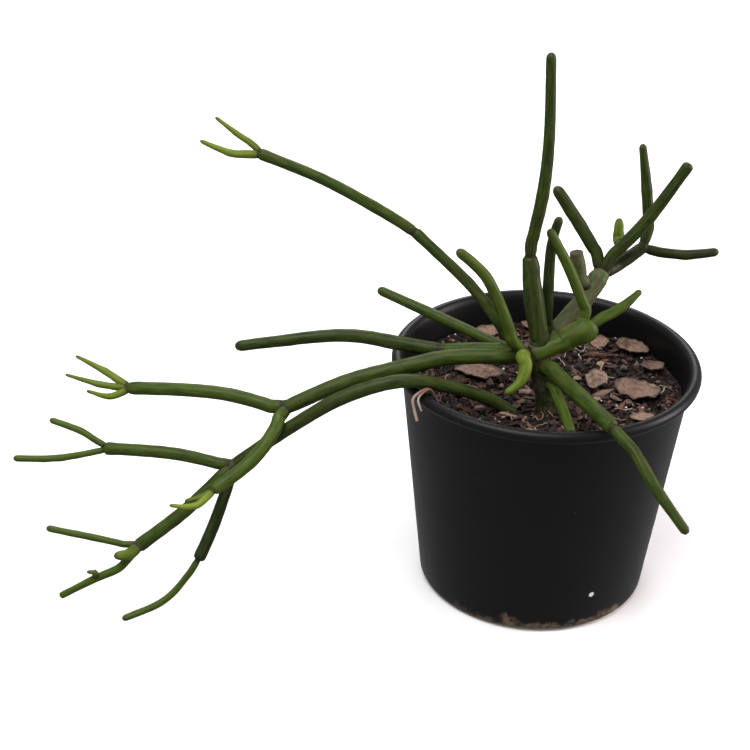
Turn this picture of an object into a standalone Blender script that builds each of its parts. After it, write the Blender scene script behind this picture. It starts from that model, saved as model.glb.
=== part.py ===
"""A pencil-stemmed euphorbia growing in a black plastic nursery pot.

The origin is the centre of the pot's resting face, with +Z up and -Y towards the front.
The plant is built the way it grew: one short trunk out of the soil, then jointed stem
segments, each its own object. Every neighbour keeps a gap of about 0.3 mm.
"""

import math
import random

import bmesh
import bpy
import numpy as np
from mathutils import Matrix, Vector, noise

MM = 0.001
GAP = 0.32 * MM

# Pot: a 150 mm nursery pot with a rolled rim.
RIM_RADIUS = 75.0 * MM
POT_HEIGHT = 123.0 * MM
WALL_TOP_RADIUS = 70.0 * MM
WALL_TOP_HEIGHT = 115.5 * MM
WALL_FOOT_RADIUS = 56.5 * MM
FOOT_CORNER = 5.0 * MM
WALL = 1.6 * MM
FLOOR = 2.2 * MM
POT_SIDES = 48
DRAIN_HOLES = 6
DRAIN_RADIUS = 4.5 * MM
DRAIN_CIRCLE = 38.0 * MM

# Soil: level below the rim, with lumps of bark mulch.
SOIL_LEVEL = 107.0 * MM
SOIL_LUMP = 1.6 * MM
SOIL_RINGS = 7

# Stems
STEM_SIDES = 8
TIP_SIDES = 6
THIN = 2.0 * MM
RING_STEP = 8.0 * MM
NECK_LENGTH = 5.0 * MM
NECK_WIDTH = 0.55

GREEN = (0.045, 0.11, 0.02)
YOUNG_GREEN = (0.14, 0.24, 0.03)
WOODY = (0.11, 0.13, 0.05)
BARK = (0.23, 0.12, 0.08)

# Each stem: the points that its centre line bends through, in mm, and its radius in mm
# at each of those points. A stem starts at the end of the one it grew from.
STEMS = {
    "tall_stem_base": (
        [(-3, -21, 138), (-8, -19, 160), (-12, -16, 184)], (3.9, 4.4, 3.5), GREEN),
    "tall_stem_top": (
        [(-12, -16, 187), (-8, -13, 213), (-7, -10, 240), (-9, -6, 279)],
        (2.6, 2.7, 2.4, 2.1), GREEN),
    "back_shoot": (
        [(-1, -12, 141), (-2, -8, 163), (-2, -4, 185), (1, -2, 198)],
        (2.2, 2.5, 2.2, 1.9), GREEN),
    "thick_stub": ([(-1, -20, 138), (9, -18, 143), (19, -15, 149)], (5.0, 5.6, 6.2), GREEN),
    "stub_shoot_left": (
        [(18, -13, 152), (7, -11, 176), (-4, -10, 195)], (2.3, 2.4, 2.0), GREEN),
    "stub_shoot_right": (
        [(21, -12, 150), (33, -4, 154), (42, 4, 160)], (2.4, 2.3, 1.3), GREEN),
    "woody_stem": ([(0, -10, 137), (15, 4, 152), (24, 14, 165)], (4.3, 4.2, 4.2), WOODY),
    "woody_shoot_left": (
        [(22, 16, 169), (11, 22, 184), (-2, 26, 201)], (2.7, 2.9, 2.6), GREEN),
    "woody_shoot_right": (
        [(26, 15, 170), (43, 20, 190), (60, 24, 218)], (2.7, 2.8, 2.3), GREEN),
    "woody_shoot_rear": ([(28, 19, 163), (36, 25, 167), (44, 30, 172)], (2.8, 2.9, 2.6), GREEN),
    "rear_shoot_tall": (
        [(45, 33, 176), (42, 36, 198), (38, 40, 220)], (2.4, 2.5, 1.6), GREEN),
    "rear_shoot_side": (
        [(47, 30, 169), (63, 30, 168), (79, 30, 171)], (2.2, 2.3, 1.9), GREEN),
    "small_rear_shoot": ([(31, 26, 173), (30, 27, 180), (30, 28, 186)], (1.9, 2.2, 1.7), YOUNG_GREEN),
    "cut_stub": ([(15, 5, 155), (12, 6, 166), (10, 6, 177)], (3.3, 3.5, 3.5), WOODY),
    "upper_left_stem": (
        [(-19, -18, 141), (-26, -16, 151), (-39, -8, 163), (-67, 2, 184)],
        (2.4, 2.6, 2.5, 2.3), GREEN),
    "upper_left_stem_end": (
        [(-67, 2, 184), (-86, 4, 194), (-112, 6, 206), (-142, 8, 216)],
        (2.4, 2.5, 2.4, 2.4), GREEN),
    "upper_left_tip_straight": (
        [(-143, 10, 218), (-153, 11, 224), (-163, 12, 231)], (1.2, 1.2, 0.9), YOUNG_GREEN),
    "upper_left_tip_curved": (
        [(-144, 7, 216), (-154, 5, 216), (-169, 4, 222)], (1.3, 1.5, 1.1), YOUNG_GREEN),
    "curled_left_shoot": (
        [(-16, -29, 143), (-23, -30, 162), (-32, -31, 180), (-45, -33, 192)],
        (2.8, 2.6, 2.4, 2.1), YOUNG_GREEN),
    "rear_left_shoot": (
        [(-23, -16, 136), (-52, 0, 140), (-84, 14, 146)], (2.3, 2.5, 2.1), GREEN),
    "long_left_stem_base": ([(-19, -22, 137), (-35, -18, 134), (-51, -14, 130)], (2.8, 3.0, 2.8), GREEN),
    "long_left_stem": (
        [(-52, -14, 130), (-71, -12, 131), (-100, -12, 133), (-150, -14, 124)],
        (3.0, 3.2, 2.9, 2.4), GREEN),
    "left_branch": (
        [(-19, -28, 137), (-46, -30, 135), (-66, -33, 130), (-94, -38, 122), (-122, -46, 110)],
        (3.3, 3.5, 3.5, 3.4, 3.2), GREEN),
    "left_branch_upper": (
        [(-123, -45, 109), (-149, -40, 112), (-174, -37, 111), (-199, -34, 108)],
        (3.0, 3.0, 2.9, 2.9), GREEN),
    "left_upper_tip_high": (
        [(-200, -33, 109), (-211, -28, 113), (-226, -24, 118)], (1.3, 1.4, 0.9), YOUNG_GREEN),
    "left_upper_tip_middle": (
        [(-201, -34, 108), (-213, -34, 109), (-229, -34, 113)], (1.2, 1.3, 0.8), YOUNG_GREEN),
    "left_upper_tip_low": (
        [(-200, -36, 107), (-207, -42, 107), (-216, -46, 112)], (1.2, 1.3, 0.8), YOUNG_GREEN),
    "left_branch_lower": (
        [(-123, -50, 109), (-124, -61, 107), (-130, -71, 100), (-137, -79, 95), (-149, -88, 88)],
        (3.1, 3.2, 3.3, 3.2, 3.0), GREEN),
    "left_lower_tip_short": ([(-151, -90, 86), (-156, -92, 86), (-161, -93, 84)], (1.2, 1.2, 0.9), YOUNG_GREEN),
    "left_lower_tip_long": (
        [(-151, -93, 86), (-158, -97, 84), (-167, -99, 86)], (1.1, 1.3, 0.7), YOUNG_GREEN),
    "low_branch": (
        [(-14, -30, 107), (-24, -33, 115), (-42, -38, 123), (-66, -43, 128), (-93, -48, 120),
         (-118, -53, 104), (-145, -60, 84)],
        (3.0, 3.1, 3.2, 3.4, 3.4, 3.2, 3.1), GREEN),
    "low_branch_outer": (
        [(-147, -60, 85), (-169, -60, 89), (-188, -59, 89), (-206, -58, 88)],
        (2.6, 2.7, 2.7, 2.6), GREEN),
    "low_outer_tip_high": (
        [(-207, -57, 89), (-217, -54, 94), (-233, -52, 98)], (1.4, 1.6, 1.4), GREEN),
    "low_outer_tip_low": (
        [(-208, -59, 87), (-227, -60, 82), (-249, -62, 81)], (1.4, 1.6, 1.5), GREEN),
    "low_branch_middle": (
        [(-147, -63, 83), (-165, -71, 65), (-187, -80, 48)], (2.8, 2.9, 2.9), GREEN),
    "low_middle_tip_high": (
        [(-189, -79, 48), (-209, -80, 52), (-230, -80, 55)], (1.5, 1.6, 1.5), GREEN),
    "low_middle_stub": ([(-187, -84, 48), (-191, -87, 48), (-196, -89, 49)], (1.6, 2.0, 1.9), YOUNG_GREEN),
    "low_middle_tip_low": (
        [(-190, -83, 44), (-195, -86, 39), (-204, -88, 35), (-222, -92, 25)],
        (1.7, 1.9, 1.8, 1.4), GREEN),
    "low_middle_bud": ([(-202, -89, 38), (-205, -90, 39), (-209, -91, 39)], (0.9, 1.1, 1.0), YOUNG_GREEN),
    "low_branch_inner": (
        [(-145, -62, 79), (-152, -68, 56), (-158, -78, 42)], (2.4, 2.7, 2.6), GREEN),
    "low_inner_tip": (
        [(-159, -79, 40), (-172, -88, 25), (-191, -98, 19)], (1.4, 1.6, 1.5), GREEN),
    "front_right_stem": (
        [(0, -28, 133), (16, -50, 130), (31, -73, 128)], (3.4, 3.6, 3.3), GREEN),
    "front_right_stem_end": (
        [(33, -76, 127), (41, -83, 122), (49, -92, 113), (66, -106, 96)], (2.5, 2.5, 2.5, 1.9), GREEN),
    "front_shoot": ([(2, -29, 126), (8, -42, 120), (13, -60, 116)], (2.2, 2.4, 2.3), GREEN),
    "young_curled_shoot": (
        [(-13, -31, 141), (-10, -36, 137), (-12, -41, 130), (-19, -45, 126)],
        (2.4, 2.4, 2.2, 1.6), YOUNG_GREEN),
}

TRUNK = ([(2, -26, 90), (2, -26, 108), (-1, -24, 122), (-5, -22, 132), (-14, -24, 137)],
         (4.8, 4.8, 4.6, 5.2, 3.4))

# Bark chips lying on the soil: centre, length, width and thickness in mm, then turn in degrees.
CHIPS = {
    "bark_chip_1": ((43, 42), 20, 14, 2.4, -40),
    "bark_chip_2": ((25, 3), 20, 11, 2.2, 80),
    "bark_chip_3": ((44, -4), 25, 20, 2.8, -40),
    "bark_chip_4": ((53, 22), 14, 11, 2.0, 30),
    "bark_chip_5": ((26, 42), 16, 10, 2.4, 60),
    "bark_chip_6": ((47, -30), 13, 9, 2.0, 0),
    "bark_chip_7": ((-33, 3), 26, 13, 2.6, -15),
    "bark_chip_8": ((-30, 44), 22, 12, 2.4, 35),
    "bark_chip_9": ((-6, 57), 18, 11, 2.2, -10),
}


def clear_scene():
    for thing in list(bpy.data.objects):
        bpy.data.objects.remove(thing, do_unlink=True)


def material(name, colour, roughness):
    made = bpy.data.materials.new(name)
    made.use_nodes = True
    shader = made.node_tree.nodes["Principled BSDF"]
    shader.inputs["Base Color"].default_value = (*colour, 1.0)
    shader.inputs["Roughness"].default_value = roughness
    shader.inputs["Metallic"].default_value = 0.0
    return made


def add_object(name, shape, colour, roughness, crease=40.0):
    """Turns a bmesh into an object of its own, shaded smooth up to the crease angle."""
    bmesh.ops.recalc_face_normals(shape, faces=shape.faces[:])
    mesh = bpy.data.meshes.new(name)
    shape.to_mesh(mesh)
    shape.free()
    mesh.shade_smooth()
    mesh.set_sharp_from_angle(angle=math.radians(crease))
    mesh.materials.append(material(name, colour, roughness))
    thing = bpy.data.objects.new(name, mesh)
    bpy.context.scene.collection.objects.link(thing)
    return thing


def bridge_rings(shape, rings, loop_back=False):
    """Fills quads between neighbouring rings of equal length."""
    pairs = list(zip(rings[:-1], rings[1:]))
    if loop_back:
        pairs.append((rings[-1], rings[0]))
    for low, high in pairs:
        count = len(low)
        for i in range(count):
            j = (i + 1) % count
            shape.faces.new((low[i], low[j], high[j], high[i]))


def fan(shape, ring, centre):
    """Closes a ring with triangles that meet at a centre point."""
    middle = shape.verts.new(centre)
    for i, vert in enumerate(ring):
        shape.faces.new((vert, ring[(i + 1) % len(ring)], middle))


def turned(profile, sides, height_at=None):
    """A closed solid turned about Z from (radius, height) points, poles at both ends."""
    shape = bmesh.new()
    rings = []
    for radius, height in profile:
        ring = []
        for i in range(sides):
            angle = 2 * math.pi * i / sides
            x, y = radius * math.cos(angle), radius * math.sin(angle)
            lift = height_at(x, y) if height_at and height > SOIL_LEVEL - MM else 0.0
            ring.append(shape.verts.new((x, y, height + lift)))
        rings.append(ring)
    bridge_rings(shape, rings)
    first, last = profile[0][1], profile[-1][1]
    fan(shape, rings[0][::-1], (0, 0, first))
    top_lift = height_at(0, 0) if height_at else 0.0
    fan(shape, rings[-1], (0, 0, last + top_lift))
    return shape


def wall_radius(height):
    """Outer radius of the tapered wall at a height."""
    share = (height - FOOT_CORNER) / (WALL_TOP_HEIGHT - FOOT_CORNER)
    return WALL_FOOT_RADIUS + share * (WALL_TOP_RADIUS - WALL_FOOT_RADIUS)


def arc(centre, radius, start, end, steps):
    """Points (radius, height) along an arc, angles in degrees from straight out."""
    points = []
    for i in range(steps + 1):
        angle = math.radians(start + (end - start) * i / steps)
        points.append((centre[0] + radius * math.cos(angle), centre[1] + radius * math.sin(angle)))
    return points


def make_pot():
    """Outside from the base up, over the rolled rim, and down the inside to the floor."""
    corner = (WALL_FOOT_RADIUS - FOOT_CORNER, FOOT_CORNER)
    bead = (RIM_RADIUS - 3.0 * MM, POT_HEIGHT - 3.0 * MM)
    profile = [(20 * MM, 0.0)]
    profile += arc(corner, FOOT_CORNER, -90, -5, 3)
    profile.append((WALL_TOP_RADIUS, WALL_TOP_HEIGHT))
    profile += arc(bead, 3.0 * MM, -70, 110, 6)
    profile.append((WALL_TOP_RADIUS - WALL + 0.8 * MM, POT_HEIGHT - 2.5 * MM))
    profile.append((WALL_TOP_RADIUS - WALL, WALL_TOP_HEIGHT))
    profile.append((wall_radius(FOOT_CORNER + FLOOR) - WALL, FOOT_CORNER + FLOOR))
    profile.append((wall_radius(FOOT_CORNER) - WALL - 3 * MM, FLOOR))
    profile.append((20 * MM, FLOOR))
    pot = add_object("pot", turned(profile, POT_SIDES), (0.012, 0.012, 0.013), 0.38)
    for i in range(DRAIN_HOLES):
        angle = 2 * math.pi * (i + 0.29) / DRAIN_HOLES
        place = (DRAIN_CIRCLE * math.cos(angle), DRAIN_CIRCLE * math.sin(angle), 0)
        cut(pot, cylinder_shape(DRAIN_RADIUS, 12 * MM, 12, place))
    return pot


def cylinder_shape(radius, height, sides, place):
    shape = bmesh.new()
    bmesh.ops.create_cone(
        shape, cap_ends=True, segments=sides, radius1=radius, radius2=radius, depth=height,
        matrix=Matrix.Translation(place))
    return shape


def cut(target, shape):
    """Takes a bmesh shape out of an object with an exact Boolean."""
    bmesh.ops.recalc_face_normals(shape, faces=shape.faces[:])
    mesh = bpy.data.meshes.new("cutter")
    shape.to_mesh(mesh)
    shape.free()
    cutter = bpy.data.objects.new("cutter_" + target.name, mesh)
    bpy.context.scene.collection.objects.link(cutter)
    cutter.hide_render = True
    cutter.display_type = "WIRE"
    step = target.modifiers.new("cut", "BOOLEAN")
    step.operation = "DIFFERENCE"
    step.solver = "EXACT"
    step.object = cutter


def soil_lumps(x, y):
    """Height of the mulch above or below its level, from smooth noise."""
    place = Vector((x / (11 * MM), y / (11 * MM), 0.7))
    coarse = noise.noise(place)
    fine = noise.noise(place * 2.3)
    return SOIL_LUMP * (coarse + 0.5 * fine)


def inner_radius(height):
    return wall_radius(height) - WALL - 0.5 * MM


def make_soil():
    low = FOOT_CORNER + FLOOR + 1 * MM
    bottom = FLOOR + GAP
    profile = [(20 * MM, bottom), (inner_radius(FOOT_CORNER) - 4 * MM, bottom), (inner_radius(low), low)]
    edge = SOIL_LEVEL
    profile.append((inner_radius(edge - 4 * MM), edge - 4 * MM))
    for i in range(SOIL_RINGS, 0, -1):
        profile.append((inner_radius(edge) * i / SOIL_RINGS - 0.2 * MM, edge))
    soil = add_object("soil", turned(profile, POT_SIDES, soil_lumps), (0.05, 0.032, 0.024), 0.95)
    for points, radii in (TRUNK, STEMS["low_branch"][:2]):
        depth = 3 if points is TRUNK[0] else 2
        widened = [r + 0.4 for r in radii[:depth]]
        cut(soil, tube_shape(*swept(points[:depth], widened), STEM_SIDES))
    return soil


def swept(points, radii):
    """Samples a smooth curve through the bends, with the radius at each sample."""
    bends = [Vector(p) * MM for p in points]
    widths = [r * MM for r in radii]
    line, width = [bends[0]], [widths[0]]
    for i in range(len(bends) - 1):
        before = bends[i - 1] if i else bends[i] * 2 - bends[i + 1]
        after = bends[i + 2] if i + 2 < len(bends) else bends[i + 1] * 2 - bends[i]
        steps = max(2, round((bends[i + 1] - bends[i]).length / RING_STEP))
        for k in range(1, steps + 1):
            t = k / steps
            line.append(catmull(before, bends[i], bends[i + 1], after, t))
            width.append(widths[i] + (widths[i + 1] - widths[i]) * t)
    return line, width


def catmull(a, b, c, d, t):
    """Point at t between b and c on the smooth curve through a, b, c and d."""
    return 0.5 * (2 * b + (c - a) * t + (2 * a - 5 * b + 4 * c - d) * t * t
                  + (3 * b - a - 3 * c + d) * t ** 3)


def directions(line):
    """Unit tangent at each sample of a line."""
    result = []
    for i in range(len(line)):
        ahead = line[min(i + 1, len(line) - 1)]
        behind = line[max(i - 1, 0)]
        result.append((ahead - behind).normalized())
    return result


def tube_shape(line, width, sides):
    """A closed tube along a line, with rings that don't twist and a fan at each end."""
    shape = bmesh.new()
    along = directions(line)
    side = along[0].orthogonal().normalized()
    rings = []
    for centre, way, radius in zip(line, along, width):
        side = (side - way * side.dot(way)).normalized()
        other = way.cross(side)
        ring = []
        for i in range(sides):
            angle = 2 * math.pi * i / sides
            spoke = side * math.cos(angle) + other * math.sin(angle)
            ring.append(shape.verts.new(centre + spoke * radius))
        rings.append(ring)
    bridge_rings(shape, rings)
    fan(shape, rings[0][::-1], line[0] - along[0] * width[0] * 0.3)
    fan(shape, rings[-1], line[-1] + along[-1] * width[-1] * 0.3)
    return shape


def lengths(line):
    """Distance from the start to each sample."""
    travelled = [0.0]
    for a, b in zip(line[:-1], line[1:]):
        travelled.append(travelled[-1] + (b - a).length)
    return travelled


def point_at(line, travelled, distance):
    for i in range(1, len(line)):
        if travelled[i] >= distance or i == len(line) - 1:
            share = (distance - travelled[i - 1]) / (travelled[i] - travelled[i - 1])
            return line[i - 1].lerp(line[i], share)


def necked(line, width, start):
    """The stretch of a stem from a start distance on, narrow at its base and round at its tip."""
    travelled = lengths(line)
    total = travelled[-1]
    tip = width[-1]
    neck_length = min(NECK_LENGTH, 0.5 * (total - start))
    stations = [start, start + 0.35 * neck_length, start + neck_length]
    stations += [d for d in travelled[1:] if start + 1.4 * neck_length < d < total - 1.8 * tip]
    stations += [total - 1.1 * tip, total - 0.45 * tip, total - 0.12 * tip]
    new_line, new_width = [], []
    for d in stations:
        full = float(np.interp(d, travelled, width))
        rise = min(1.0, (d - start) / neck_length)
        neck = NECK_WIDTH + (1 - NECK_WIDTH) * math.sin(rise * math.pi / 2)
        left = max(0.0, (total - d) / (1.1 * tip))
        dome = 1.0 if left >= 1 else math.sqrt(1 - (1 - left) ** 2)
        new_line.append(point_at(line, travelled, d))
        new_width.append(full * neck * dome)
    return new_line, new_width


def balls(line, width):
    """Fine samples along a stem, for measuring how near its neighbours come."""
    travelled = lengths(line)
    count = max(2, int(travelled[-1] / (0.7 * MM)))
    distance = np.linspace(0, travelled[-1], count)
    centres = np.array([point_at(line, travelled, d) for d in distance])
    return centres, np.interp(distance, travelled, width)


def clearance(mine, others):
    """Smallest space between one stem's surface and those already placed."""
    best = 1.0
    for centres, radii in others:
        apart = np.linalg.norm(mine[0][:, None] - centres[None], axis=2)
        best = min(best, float((apart - mine[1][:, None] - radii[None]).min()))
    return best


def settle(name, points, radii, placed):
    """Moves a stem's base along its line until it clears everything placed before it."""
    line, width = swept(points, radii)
    start = 0.0
    while start < 14 * MM:
        shape = necked(line, width, start)
        if clearance(balls(*shape), placed) >= GAP:
            return shape
        start += 0.25 * MM
    print(name, "still touches a neighbour")
    return shape


def make_plant():
    """The trunk, then every stem in the order it grew."""
    line, width = swept(*TRUNK)
    add_object("trunk", tube_shape(line, width, STEM_SIDES), (0.06, 0.07, 0.03), 0.7)
    placed = [balls(line, width)]
    for name, (points, radii, colour) in STEMS.items():
        line, width = settle(name, points, radii, placed)
        placed.append(balls(line, width))
        sides = TIP_SIDES if max(radii) * MM < THIN else STEM_SIDES
        add_object(name, tube_shape(line, width, sides), colour, 0.45)


def chip_shape(length, width, thickness, seed):
    """A flat flake with an uneven outline and sloping edges, its underside at z = 0."""
    chooser = random.Random(seed)
    corners = 9
    reach = [chooser.uniform(0.78, 1.0) for _ in range(corners)]
    shape = bmesh.new()
    rings = []
    for share, height in ((0.86, 0.0), (1.0, 0.45), (0.8, 1.0)):
        ring = []
        for i in range(corners):
            angle = 2 * math.pi * i / corners
            x = length / 2 * reach[i] * share * math.cos(angle)
            y = width / 2 * reach[i] * share * math.sin(angle)
            ring.append(shape.verts.new((x, y, thickness * height)))
        rings.append(ring)
    bridge_rings(shape, rings)
    fan(shape, rings[0][::-1], (0, 0, 0))
    fan(shape, rings[-1], (0, 0, thickness))
    return shape


def make_chips():
    """Large flakes of bark, each resting just clear of the lumpy soil."""
    for seed, (name, (centre, length, width, thickness, turn)) in enumerate(CHIPS.items()):
        shape = chip_shape(length * MM, width * MM, thickness * MM, seed)
        spin = Matrix.Rotation(math.radians(turn), 4, "Z")
        bmesh.ops.transform(shape, matrix=spin, verts=shape.verts[:])
        place = Vector((centre[0] * MM, centre[1] * MM, 0))
        lift = max(soil_lumps(place.x + v.co.x, place.y + v.co.y) for v in shape.verts)
        place.z = SOIL_LEVEL + lift + 0.6 * MM
        bmesh.ops.translate(shape, vec=place, verts=shape.verts[:])
        add_object(name, shape, BARK, 0.85, crease=30.0)


clear_scene()
make_pot()
make_soil()
make_plant()
make_chips()
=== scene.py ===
# %% [markdown]
# # A pencil-stemmed euphorbia in a nursery pot
#
# This plant has no leaves. Its green stems do the leaves' work, and they grow as jointed
# segments, each a smooth rod a few millimetres thick. The lesson starts from a plain model
# of the whole plant, one solid for each segment, and gives it the surfaces of the real one:
# waxy skin, dark joints, corky mulch and a scuffed plastic pot.
#
# The plain model is loaded first. It fixes every size and place, so nothing below is
# measured again: each finished piece is built on top of the solid that it stands for.

import heapq
import math
import random

import bmesh
import bpy
from mathutils import Matrix, Vector, noise


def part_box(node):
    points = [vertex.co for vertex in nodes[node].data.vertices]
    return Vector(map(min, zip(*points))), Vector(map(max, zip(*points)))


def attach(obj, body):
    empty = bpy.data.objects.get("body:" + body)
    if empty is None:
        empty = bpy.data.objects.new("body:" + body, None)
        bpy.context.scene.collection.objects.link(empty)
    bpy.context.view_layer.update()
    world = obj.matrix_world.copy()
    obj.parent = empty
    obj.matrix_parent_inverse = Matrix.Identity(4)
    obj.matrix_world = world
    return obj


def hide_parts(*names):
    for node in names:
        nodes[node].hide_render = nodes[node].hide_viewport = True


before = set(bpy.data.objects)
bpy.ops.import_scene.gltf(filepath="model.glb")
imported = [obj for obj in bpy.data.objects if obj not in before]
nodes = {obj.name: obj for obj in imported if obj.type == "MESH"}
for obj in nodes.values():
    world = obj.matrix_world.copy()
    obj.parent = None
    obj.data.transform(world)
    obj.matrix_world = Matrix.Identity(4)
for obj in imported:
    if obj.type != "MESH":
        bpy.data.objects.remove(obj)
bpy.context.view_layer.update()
MM = 0.001

# %% [markdown]
# ## Camera
#
# A long lens keeps the pot's sides nearly parallel, as a product picture does. The camera
# stands about a metre away and looks down at 29 degrees, which shows the soil inside the
# rim. Its place is worked out from the rim's height, with a small turn and tilt.

# %% Camera
pot_low, pot_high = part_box("pot")
RIM_RADIUS = (pot_high.x - pot_low.x) / 2
POT_HEIGHT = pot_high.z

camera_data = bpy.data.cameras.new("camera")
camera_data.lens = 96.0
camera_data.sensor_width = 36.0
camera = bpy.data.objects.new("camera", camera_data)
bpy.context.scene.collection.objects.link(camera)
bpy.context.scene.camera = camera

DISTANCE, RISE = 0.971, math.radians(28.1)
PITCH, TURN, TILT = math.radians(28.9), math.radians(4.4), math.radians(2.0)
place = Vector((-0.017, -DISTANCE * math.cos(RISE), POT_HEIGHT + DISTANCE * math.sin(RISE)))
aim = Matrix.Rotation(TURN, 4, "Z") @ Matrix.Rotation(math.pi / 2 - PITCH, 4, "X")
camera.matrix_world = Matrix.Translation(place) @ aim @ Matrix.Rotation(TILT, 4, "Z")
print("camera", [round(v, 3) for v in place])

# %% [markdown]
# ## Studio
#
# Black plastic shows nothing but reflections, so the lights decide how the pot looks. A
# bright, even world gives both sides of the pot a pale edge, a large lamp above and in
# front models the stems softly, and a strip on the right lays a broad sheen on that side.
# The floor is a plain pale sheet. Left to itself it would light the plant from below and
# wash out the black, so it is seen and catches shadows, but sends no light to other things.

# %% Lights, world and floor


def add_lamp(name, size, power, where, target=(0.0, 0.0, 0.12), colour=(1, 1, 1)):
    """A rectangular area lamp that faces a target."""
    data = bpy.data.lights.new(name, "AREA")
    data.shape = "RECTANGLE"
    data.size, data.size_y = size
    data.energy = power
    data.color = colour
    lamp = bpy.data.objects.new(name, data)
    bpy.context.scene.collection.objects.link(lamp)
    lamp.location = where
    lamp.rotation_euler = (Vector(target) - Vector(where)).to_track_quat("-Z", "Y").to_euler()
    return lamp


add_lamp("key", (1.0, 0.8), 21.0, (-0.35, -0.45, 1.3))
add_lamp("right_strip", (0.35, 0.9), 15.0, (1.1, 0.1, 0.45), colour=(1.0, 0.88, 0.90))
add_lamp("back", (0.8, 0.4), 6.0, (-0.1, 0.95, 0.8))

world = bpy.data.worlds.new("studio")
world.use_nodes = True
world.node_tree.nodes["Background"].inputs["Color"].default_value = (1.0, 1.0, 1.0, 1.0)
world.node_tree.nodes["Background"].inputs["Strength"].default_value = 0.40
bpy.context.scene.world = world
bpy.context.scene.view_settings.view_transform = "Standard"

floor_mesh = bpy.data.meshes.new("floor")
FLOOR_HALF = 3.0
corners = [(-FLOOR_HALF, -FLOOR_HALF, 0), (FLOOR_HALF, -FLOOR_HALF, 0),
           (FLOOR_HALF, FLOOR_HALF, 0), (-FLOOR_HALF, FLOOR_HALF, 0)]
floor_mesh.from_pydata(corners, [], [(0, 1, 2, 3)])
floor = bpy.data.objects.new("floor", floor_mesh)
bpy.context.scene.collection.objects.link(floor)
floor.visible_diffuse = False
floor.visible_glossy = False
print("three lamps and a floor")

# %% [markdown]
# ## Writing materials as short recipes
#
# A procedural material is a chain of nodes. Three small helpers keep each recipe readable:
# one makes a node and wires or sets its inputs, one makes a colour ramp, and one starts a
# material with its Principled shader.

# %% Helpers for materials


def node(tree, kind, settings=None, **inputs):
    """Adds a node. An input is a number, a colour, or another node's output socket."""
    made = tree.nodes.new(kind)
    for name, value in (settings or {}).items():
        setattr(made, name, value)
    for name, value in inputs.items():
        key = int(name[1:]) if name[0] == "_" and name[1:].isdigit() else name.replace("_", " ")
        socket = made.inputs[key]
        if isinstance(value, bpy.types.NodeSocket):
            tree.links.new(value, socket)
        else:
            socket.default_value = value
    return made


def maths(tree, operation, a, b=0.0, c=0.0, clamp=False):
    """One arithmetic step, returned as its output socket."""
    made = tree.nodes.new("ShaderNodeMath")
    made.operation = operation
    made.use_clamp = clamp
    for socket, value in zip(made.inputs, (a, b, c)):
        if isinstance(value, bpy.types.NodeSocket):
            tree.links.new(value, socket)
        else:
            socket.default_value = value
    return made.outputs[0]


def ramp(tree, factor, stops):
    """A colour ramp from (position, colour) stops, returned as its colour socket."""
    made = tree.nodes.new("ShaderNodeValToRGB")
    tree.links.new(factor, made.inputs["Fac"])
    band = made.color_ramp
    while len(band.elements) < len(stops):
        band.elements.new(0.5)
    for element, (position, colour) in zip(band.elements, stops):
        element.position = position
        element.color = (*colour, 1.0)
    return made.outputs["Color"]


def fade(tree, value, start, end):
    """Goes smoothly from 0 at start to 1 at end, which may run either way."""
    low, high, lows, highs = (start, end, 0.0, 1.0) if start < end else (end, start, 1.0, 0.0)
    made = tree.nodes.new("ShaderNodeMapRange")
    made.interpolation_type = "SMOOTHSTEP"
    tree.links.new(value, made.inputs["Value"])
    for name, number in (("From Min", low), ("From Max", high), ("To Min", lows), ("To Max", highs)):
        made.inputs[name].default_value = number
    return made.outputs["Result"]


def mix(tree, factor, a, b, blend="MIX"):
    """Mixes two colours, each a tuple or a socket."""
    made = tree.nodes.new("ShaderNodeMix")
    made.data_type = "RGBA"
    made.blend_type = blend
    for socket, value in ((made.inputs[0], factor), (made.inputs[6], a), (made.inputs[7], b)):
        if isinstance(value, bpy.types.NodeSocket):
            tree.links.new(value, socket)
        elif isinstance(value, tuple):
            socket.default_value = (*value, 1.0)
        else:
            socket.default_value = value
    return made.outputs[2]


def new_material(name, **sockets):
    """A material with a Principled shader, and the shader's plain numbers set on it."""
    made = bpy.data.materials.new(name)
    made.use_nodes = True
    shader = made.node_tree.nodes["Principled BSDF"]
    for key, value in sockets.items():
        shader.inputs[key.replace("_", " ")].default_value = value
    return made, made.node_tree, shader


def noise_at(tree, vector, scale, detail=3.0, roughness=0.5):
    """Noise between 0 and 1 at a vector, returned as its value socket."""
    made = node(tree, "ShaderNodeTexNoise", Vector=vector, Scale=scale, Detail=detail,
                Roughness=roughness)
    return made.outputs["Fac"]


def paint(tree, shader, colour, roughness=None):
    """Wires a colour, and a roughness if there is one, into the shader."""
    tree.links.new(colour, shader.inputs["Base Color"])
    if roughness is not None:
        tree.links.new(roughness, shader.inputs["Roughness"])


def add_relief(tree, shader, height, strength, distance):
    """Makes the surface look bumped where height is greater."""
    bump = node(tree, "ShaderNodeBump", Height=height, Strength=strength, Distance=distance)
    tree.links.new(bump.outputs["Normal"], shader.inputs["Normal"])


floor_material, _, floor_shader = new_material("pale_floor", Roughness=0.9)
floor_shader.inputs["Base Color"].default_value = (0.93, 0.93, 0.93, 1.0)
floor_mesh.materials.append(floor_material)
print("material helpers ready")

# %% [markdown]
# ## Reading a stem's centre line
#
# Each plain stem is a closed tube. Distances over its surface from one end say roughly how
# far along each vertex lies, and the vertices' own edges cross each such level in a ring.
# The rings give a first centre line. A second pass cuts the tube squarely across that line:
# the average of a cut is a point on the centre line, and its reach is the radius.

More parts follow.
